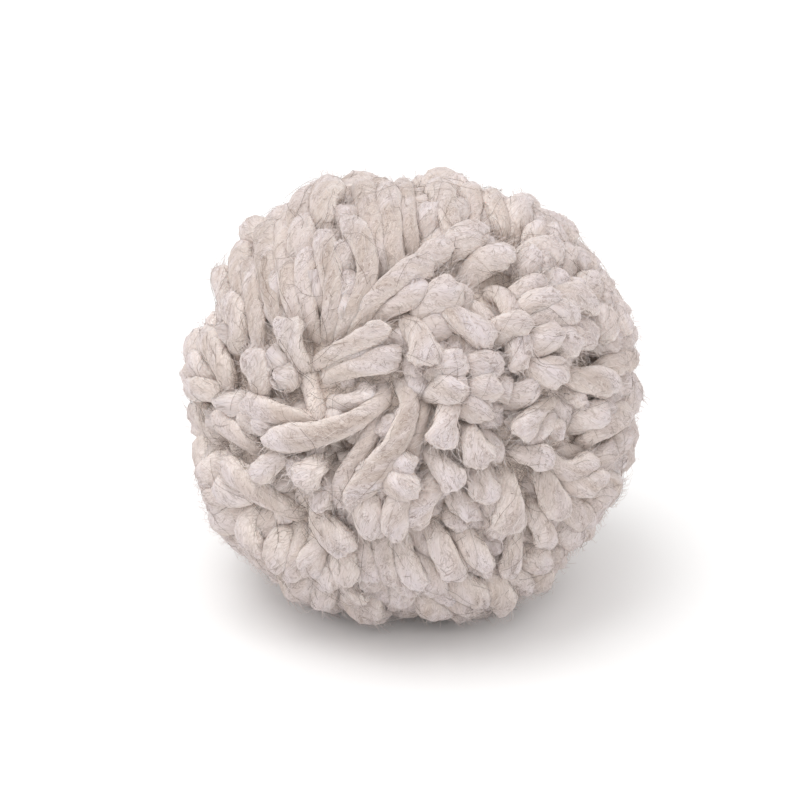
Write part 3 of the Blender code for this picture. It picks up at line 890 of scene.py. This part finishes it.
strandSizes = {
    "Twist": -290.0,  # radians a metre
    "Lump": 1.4 * mm,
    "Lobe": 0.10,  # share of its girth
    "Ragged": 1.8 * mm,
    "Material": pileWool,
}
tieSizes = {
    "Sides": 16, "Twist": -300.0, "Lump": 0.9 * mm, "Lobe": 0.08, "Ragged": 0.0, "Material": tieWool,
}
# sides of a strand, and how much fuller than pressed
locks = {"laidLocks": (14, 1.16), "frontLocks": (14, 1.26), "backLocks": (10, 1.26)}

print("spinning the strands")
strandsTree = strandTree()
toneOfStrand = chance.uniform(0, 1, (len(lines), 1))
shiftOfStrand = chance.uniform(0, 1, (len(lines), 1))
isFront = (lines[laid:, -1] - ballMiddle) @ towards > 0
pieces = []
for name, points, girth, first, chosen in (
    ("laidLocks", laidPoints, laidGirth, 0, np.ones(laid, bool)),
    ("frontLocks", standingPoints, standingGirth, laid, isFront),
    ("backLocks", standingPoints, standingGirth, laid, ~isFront),
):
    sides, fullness = locks[name]
    tone, shift = (each[first:first + len(points)][chosen] for each in (toneOfStrand, shiftOfStrand))
    points = points[chosen]
    mesh = lineMesh(name + "Lines", points, girth[chosen] * fullness, tone, shift, depthShade(points))
    pieces.append(applyTree(name, mesh, strandsTree, {"Sides": sides, **strandSizes}))
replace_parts(pieces[0], "pile")

# the dense heart, and the matted wool low between the strands
matting = {
    "depth": 7.2,  # under the trimmed surface
    "overHeart": -1.0,  # and at least this far over the heart's own sphere
    "underTie": 0.6,
    "groove": 5.0,  # half width of the hollow that the tie lies in
}


def makeHeart():
    bm = bmesh.new()
    bmesh.ops.create_icosphere(bm, subdivisions=5, radius=1)
    directions = np.array([vert.co[:] for vert in bm.verts])
    fromBall = ballMiddle + directions * (trimReach(directions) - matting["depth"] * mm)[:, None]
    toHeart = fromBall - heartMiddle
    out = np.linalg.norm(toHeart, axis=1)
    least = heartRadius + matting["overHeart"] * mm
    fromBall = heartMiddle + toHeart * (np.maximum(out, least) / out)[:, None]
    # and under the tie's groove
    toHeart = fromBall - heartMiddle
    rise = toHeart @ tieAxis
    flat = toHeart - rise[:, None] * tieAxis
    nearTie = np.exp(-(rise / (matting["groove"] * mm)) ** 2)
    wanted = tieLoop - matting["underTie"] * mm
    shrink = np.minimum(1, wanted / np.linalg.norm(flat, axis=1))
    flat *= (1 - nearTie + nearTie * shrink)[:, None]
    places = heartMiddle + flat + rise[:, None] * tieAxis
    for vert, place in zip(bm.verts, places):
        vert.co = place
    mesh = bpy.data.meshes.new("mattedHeart")
    bm.to_mesh(mesh)
    bm.free()
    mesh.shade_smooth()
    mesh.materials.append(mattedWool)
    for label in ("pileDepth", "tipness"):
        mesh.attributes.new(label, "FLOAT", "POINT")
    layer = mesh.attributes.new("grain", "FLOAT_VECTOR", "POINT")
    layer.data.foreach_set("vector", unit(places - heartMiddle).astype(np.float32).ravel())
    heart = bpy.data.objects.new("mattedHeart", mesh)
    bpy.context.scene.collection.objects.link(heart)
    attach(heart, "root")
    return heart


def makeTie():
    # a closed loop of the same yarn
    angles = np.linspace(0, 2 * math.pi, tie["rings"], endpoint=False)
    side = unit(np.cross(tieAxis, towards))
    other = np.cross(tieAxis, side)
    loop = heartMiddle + tieLoop * (np.cos(angles)[:, None] * side + np.sin(angles)[:, None] * other)
    wave = 1
    for share, lumps, start in tie["lumps"]:
        wave = wave + share * np.sin(angles * lumps + start)
    mesh = lineMesh("tieLine", loop[None], (tie["radius"] * mm * wave)[None], 0.8, 0.37, 0.0, closed=True)
    return applyTree("tieYarn", mesh, strandsTree, tieSizes)


print("matting the heart and tying the bundle")
heart = makeHeart()
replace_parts(makeTie(), "tie")


def fibreTree(locks):
    tree, add, size = newTree("looseFibres", {
        "Int": ("Seed", "Points", "Soften"),
        "Float": ("Density", "Shortest", "Longest", "Thickness", "Along", "Stray", "Lift", "Start", "Curl",
                  "Curl Size", "Cling", "Hover", "Furthest", "Rise", "Flat", "Tips Only", "Outer Only",
                  "Hollows"),
        "Material": ("Material",),
    })
    middle = tuple(ballMiddle)
    wool, place, normal = size["Geometry"], add("InputPosition"), add("InputNormal")
    pileSurface = add("JoinGeometry")
    for piece in locks:
        tree.links.new(add("ObjectInfo", {"Object": piece}, give="Geometry"), pileSurface.node.inputs[0])
    tipness, pileDepth, hairShare, rootHeight = (
        add("InputNamedAttribute", label, data_type="FLOAT")
        for label in ("tipness", "pileDepth", "hairShare", "rootHeight")
    )
    grain, rootNormal, hairShift = (
        add("InputNamedAttribute", label, data_type="FLOAT_VECTOR")
        for label in ("grain", "woolNormal", "hairShift")
    )

    def heightOf(spot):
        # above the middle of the ball
        return add("VectorMath", add("VectorMath", spot, middle, operation="SUBTRACT"), operation="LENGTH")

    # more where wanted: all over, or at the cut ends; fewer deep in the pile
    ends = add("Math", tipness, size["Tips Only"], operation="MULTIPLY")
    share = add("Math", ends, add("Math", 1.0, size["Tips Only"], operation="SUBTRACT"))
    shallow = add("Math", pileDepth, size["Outer Only"], operation="MULTIPLY")
    shallow = add("Math", add("Math", 1.0, shallow, operation="SUBTRACT"), 0.0, operation="MAXIMUM")
    share = add("Math", share, shallow, operation="MULTIPLY")
    # the sides of the strands, which face into the hollows
    outward = add("VectorMath", place, middle, operation="SUBTRACT")
    outward = add("VectorMath", outward, operation="NORMALIZE")
    facing = add("VectorMath", outward, normal, operation="DOT_PRODUCT")
    aside = add("Math", add("Math", 0.6, facing, operation="SUBTRACT"), 0.0, operation="MAXIMUM")
    aside = add("Math", aside, size["Hollows"], operation="MULTIPLY")
    aside = add("Math", aside, add("Math", 1.0, size["Hollows"], operation="SUBTRACT"))
    density = add("Math", size["Density"], aside, operation="MULTIPLY")
    density = add("Math", share, density, operation="MULTIPLY")
    points = add("DistributePointsOnFaces", {"Mesh": wool, "Density": density, "Seed": size["Seed"]},
                 distribute_method="RANDOM")
    # what each fibre keeps from its root
    wild, shift = (
        add("RandomValue", (-1, -1, -1), (1, 1, 1), {"Seed": seed}, data_type="FLOAT_VECTOR")
        for seed in (3, 9)
    )
    tone = add("RandomValue", 0.0, 1.0, {"Seed": 5}, data_type="FLOAT")
    length = add("RandomValue", size["Shortest"], size["Longest"], {"Seed": 7}, data_type="FLOAT")
    for label, kind, value in (
        ("woolNormal", "FLOAT_VECTOR", points.node.outputs["Normal"]),
        ("hairTone", "FLOAT", tone),
        ("hairShift", "FLOAT_VECTOR", shift),
        ("rootHeight", "FLOAT", heightOf(place)),
    ):
        points = add("StoreNamedAttribute", {"Geometry": points, "Name": label, "Value": value},
                     data_type=kind)
    # which way it grows: along the strand, astray, and up from the wool
    lean = add("VectorMath", add("VectorMath", grain, size["Along"], operation="SCALE"),
               add("VectorMath", wild, size["Stray"], operation="SCALE"))
    upright = add("VectorMath", lean, rootNormal, operation="DOT_PRODUCT")
    upright = add("Math", upright, size["Flat"], operation="MULTIPLY")
    lean = add("VectorMath", lean, add("VectorMath", rootNormal, upright, operation="SCALE"),
               operation="SUBTRACT")
    lean = add("VectorMath", lean, add("VectorMath", rootNormal, size["Lift"], operation="SCALE"))
    rotation = add("AlignRotationToVector", {"Vector": lean}, axis="Z")
    hair = add("CurvePrimitiveLine", {"Start": (0, 0, 0), "End": (0, 0, 1)})
    hair = add("ResampleCurve", {"Curve": hair, "Count": size["Points"]})
    hair = add("StoreNamedAttribute",
               {"Geometry": hair, "Name": "hairShare", "Value": add("SplineParameter")}, data_type="FLOAT")
    hair = add("SetPosition", {"Geometry": hair, "Offset": add("CombineXYZ", {"Z": size["Start"]})})
    # none where the wool outside would hide them
    above = add("VectorMath", add("VectorMath", outward, rootNormal), 0.0002, operation="SCALE")
    sight = add("VectorMath", outward, add("VectorMath", rootNormal, 0.5, operation="SCALE"))
    above = add("VectorMath", place, above)
    hidden = add("Raycast", {"Target Geometry": pileSurface, "Source Position": above,
                             "Ray Direction": sight, "Ray Length": 0.03}, give="Is Hit")
    seen = add("BooleanMath", hidden, operation="NOT")
    hairs = add("InstanceOnPoints", {"Points": points, "Selection": seen, "Instance": hair,
                                     "Rotation": rotation, "Scale": length})
    hairs = add("RealizeInstances", hairs)
    # curls, slow and quick
    often = add("Math", 1.0, size["Curl Size"], operation="DIVIDE")
    wave = add("VectorMath", add("VectorMath", place, often, operation="SCALE"),
               add("VectorMath", hairShift, 7.0, operation="SCALE"))
    swing = add("TexNoise", {"Vector": wave, "Scale": 1.0, "Detail": 1.0}, give="Color")
    swing = add("VectorMath", swing, (0.5, 0.5, 0.5), operation="SUBTRACT")
    fromRoot = add("Math", add("Math", hairShare, size["Start"]), operation="ABSOLUTE")
    reach = add("Math", size["Curl"], add("Math", fromRoot, 2.0, operation="MULTIPLY"), operation="MULTIPLY")
    swing = add("VectorMath", swing, reach, operation="SCALE")
    hairs = add("SetPosition", {"Geometry": hairs, "Offset": swing})
    # lying on the wool
    near = add("Proximity", {"Geometry": wool}, target_element="FACES", give="Position")
    toWool = add("VectorMath", near, place, operation="SUBTRACT")
    tooFar = add("Math", size["Furthest"], near.node.outputs["Distance"], operation="DIVIDE")
    tooFar = add("Math", 1.0, tooFar, operation="SUBTRACT")
    toWool = add("VectorMath", toWool, add("Math", size["Cling"], tooFar, operation="MAXIMUM"),
                 operation="SCALE")
    away = add("VectorMath", add("VectorMath", rootNormal, operation="NORMALIZE"), size["Hover"],
               operation="SCALE")
    away = add("VectorMath", away, size["Cling"], operation="SCALE")
    hairs = add("SetPosition", {"Geometry": hairs, "Offset": add("VectorMath", toWool, away)})
    # and standing out of the ball no further than its root does
    inside = add("Math", add("Math", rootHeight, size["Rise"]), heightOf(place), operation="DIVIDE")
    inside = add("Math", inside, 1.0, operation="MINIMUM")
    inside = add("VectorMath", add("VectorMath", place, middle, operation="SUBTRACT"), inside,
                 operation="SCALE")
    hairs = add("SetPosition", {"Geometry": hairs, "Position": add("VectorMath", inside, middle)})
    # softened, and clear of the floor
    even = add("BlurAttribute", {"Value": place, "Iterations": size["Soften"]}, data_type="FLOAT_VECTOR")
    even = add("VectorMath", even, (-1, -1, 0.0002), operation="MAXIMUM")
    hairs = add("SetPosition", {"Geometry": hairs, "Position": even})
    taper = add("Math", add("Math", hairShare, 2.0, operation="POWER"), 0.55, operation="MULTIPLY")
    taper = add("Math", 1.0, taper, operation="SUBTRACT")
    girth = add("Math", size["Thickness"], taper, operation="MULTIPLY")
    circle = add("CurvePrimitiveCircle", {"Resolution": 3, "Radius": 1.0})
    hairs = add("CurveToMesh", {"Curve": hairs, "Profile Curve": circle, "Scale": girth, "Fill Caps": True})
    hairs = add("RealizeInstances", add("SetShadeSmooth", hairs))
    add("GroupOutput", add("SetMaterial", {"Geometry": hairs, "Material": size["Material"]}))
    return tree


def growFibres(name, wool, fibre, share=1.0):
    # a copy of the piece carries the tree that grows its fibres
    values = {**plainFibre, **fibre}
    for size in ("Shortest", "Longest", "Thickness", "Curl", "Curl Size", "Hover", "Furthest", "Rise"):
        values[size] *= mm
    perSquareMetre = 10000 * share * 1
    values["Density"] *= perSquareMetre
    return applyTree(name, wool.data.copy(), fibresTree, values)


print("growing the loose fibres")
fibresTree = fibreTree(pieces)
# what every kind of loose fibre has unless its own settings below say otherwise: lengths and widths are
# in millimetres, the density is in fibres a square centimetre
plainFibre = {
    "Shortest": 3.0, "Curl Size": 3.0, "Lift": 0.0, "Cling": 0.0, "Hover": 0.0, "Soften": 1, "Flat": 1.0,
    "Tips Only": 0.0, "Outer Only": 1.0, "Hollows": 0.0,
}
# fibres lying along their strand
sleekFibres = {
    "Density": 6, "Seed": 1, "Points": 4, "Longest": 7.0, "Thickness": 0.06, "Along": 1.0, "Stray": 0.45,
    "Lift": 0.2, "Start": -0.2, "Curl": 1.6, "Curl Size": 4.0, "Cling": 0.2, "Hover": 0.2, "Furthest": 0.8,
    "Rise": 0.6, "Material": paleFibre,
}
# the cut ends, loose like a soft brush
cutFibres = {
    "Density": 54, "Seed": 2, "Points": 4, "Shortest": 2.0, "Longest": 4.6, "Thickness": 0.044,
    "Along": 1.0, "Stray": 0.9, "Lift": 0.75, "Start": -0.1, "Curl": 2.0, "Curl Size": 2.4, "Furthest": 2.6,
    "Rise": 1.3, "Soften": 0, "Flat": 0.0, "Tips Only": 1.0, "Material": paleFibre,
}
# nets of fine fibres that bridge the hollows between strands
hollowNets = {
    "Density": 90, "Seed": 7, "Points": 5, "Longest": 6.5, "Thickness": 0.05, "Along": 0.8, "Stray": 0.9,
    "Lift": 0.25, "Start": -0.75, "Curl": 6.0, "Cling": 0.15, "Hover": 0.2, "Furthest": 2.2, "Rise": 0.5,
    "Outer Only": 0.8, "Hollows": 1.0, "Material": greyFibre,
}
# fine fibres that wander from strand to strand
cobweb = {
    "Density": 9, "Seed": 3, "Points": 6, "Longest": 8.0, "Thickness": 0.04, "Along": 0.7, "Stray": 0.8,
    "Start": -0.5, "Curl": 7.0, "Cling": 0.55, "Hover": 0.1, "Furthest": 1.2, "Rise": 0.6,
    "Material": greyFibre,
}
# the dark, curly guard hairs that wander over the wool
guardHairs = {
    "Density": 2.6, "Seed": 4, "Points": 20, "Shortest": 8.0, "Longest": 21.0, "Thickness": 0.037,
    "Along": 0.8, "Stray": 0.8, "Start": -0.5, "Curl": 15.0, "Curl Size": 3.2, "Cling": 0.88,
    "Hover": 0.28, "Furthest": 0.8, "Rise": 0.8, "Soften": 3, "Material": darkFibre,
}
# short dark hairs caught in the hollows between strands
darkStubble = {
    "Density": 58, "Seed": 6, "Points": 4, "Shortest": 2.0, "Longest": 5.0, "Thickness": 0.048,
    "Along": 0.7, "Stray": 0.9, "Lift": 0.3, "Start": -0.75, "Curl": 5.0, "Cling": 0.2, "Hover": 0.1,
    "Furthest": 1.6, "Rise": 0.4, "Outer Only": 0.6, "Hollows": 1.0, "Material": darkFibre,
}
# matted fibres of the heart, which show in the hollows
paleMatting = {
    "Density": 130, "Seed": 11, "Points": 5, "Longest": 7.0, "Thickness": 0.04, "Along": 0.0, "Stray": 1.0,
    "Lift": 0.6, "Start": -0.3, "Curl": 6.0, "Furthest": 8.0, "Rise": 10.0, "Flat": 0.5,
    "Outer Only": 0.0, "Material": paleFibre,
}
darkMatting = {
    "Density": 170, "Seed": 12, "Points": 5, "Longest": 8.0, "Thickness": 0.035, "Along": 0.0, "Stray": 1.0,
    "Lift": 0.7, "Start": -0.3, "Curl": 7.0, "Furthest": 8.0, "Rise": 10.0, "Flat": 0.5,
    "Outer Only": 0.0, "Material": darkFibre,
}
fibreShare = {"laid": 1.25, "front": 1.05, "back": 0.40}  # thinner at the back
for (side, share), wool in zip(fibreShare.items(), pieces):
    for label, fibre in (
        ("SleekFibres", sleekFibres), ("CutFibres", cutFibres), ("HollowNets", hollowNets),
        ("Cobweb", cobweb), ("GuardHairs", guardHairs), ("DarkStubble", darkStubble),
    ):
        growFibres(side + label, wool, fibre, share)
growFibres("paleMatting", heart, paleMatting)
growFibres("darkMatting", heart, darkMatting)

studio = {
    "floorReach": 3.0,  # metres to each side
    "floorTone": "#f4f4f4",
    "skyTone": (1.0, 0.995, 0.99, 1),
    "worldStrength": 0.95,
    # name, place in millimetres, size in millimetres, power in watts
    "lamps": (
        ("key", (-600, -400, 2100), 1300, 19.2),
        ("front", (-200, -1250, 900), 700, 2.5),
        ("fill", (1500, -1100, 900), 1200, 1.2),
    ),
}


def makeFloor():
    # plain matt paper, which takes a soft shadow
    reach = studio["floorReach"]
    mesh = bpy.data.meshes.new("floor")
    corners = [(-reach, -reach, 0), (reach, -reach, 0), (reach, reach, 0), (-reach, reach, 0)]
    mesh.from_pydata(corners, [], [(0, 1, 2, 3)])
    floor = bpy.data.objects.new("floor", mesh)
    bpy.context.scene.collection.objects.link(floor)
    paper = newMaterial("palePaper", {"Base Color": linear(studio["floorTone"]), "Roughness": 0.9})[0]
    mesh.materials.append(paper)


def makeLight():
    world = bpy.data.worlds.new("studio")
    bpy.context.scene.world = world
    world.use_nodes = True
    background = world.node_tree.nodes["Background"]
    background.inputs["Color"].default_value = studio["skyTone"]
    background.inputs["Strength"].default_value = studio["worldStrength"]
    for name, place, size, power in studio["lamps"]:
        lamp = bpy.data.lights.new(name, "AREA")
        lamp.size = size * mm
        lamp.energy = power
        holder = bpy.data.objects.new(name, lamp)
        holder.location = Vector(place) * mm
        aim = Vector(ballMiddle) - holder.location
        holder.rotation_euler = aim.to_track_quat("-Z", "Y").to_euler()
        bpy.context.scene.collection.objects.link(holder)


def makeCamera():
    camera = bpy.data.cameras.new("camera")
    camera.lens = view["lens"]
    camera.sensor_width = view["sensor"]
    holder = bpy.data.objects.new("camera", camera)
    distance = view["widthAtBall"] * mm * view["lens"] / view["sensor"]
    aside, higher = view["offset"]
    aim = ballMiddle + (across * aside + upward * higher) * mm
    holder.location = Vector(aim + towards * distance)
    holder.rotation_euler = (math.pi / 2 - faceElevation, 0, 0)
    bpy.context.scene.collection.objects.link(holder)
    bpy.context.scene.camera = holder


print("setting up the floor, the light and the camera")
makeFloor()
makeLight()
makeCamera()
bpy.context.scene.view_settings.view_transform = "Standard"
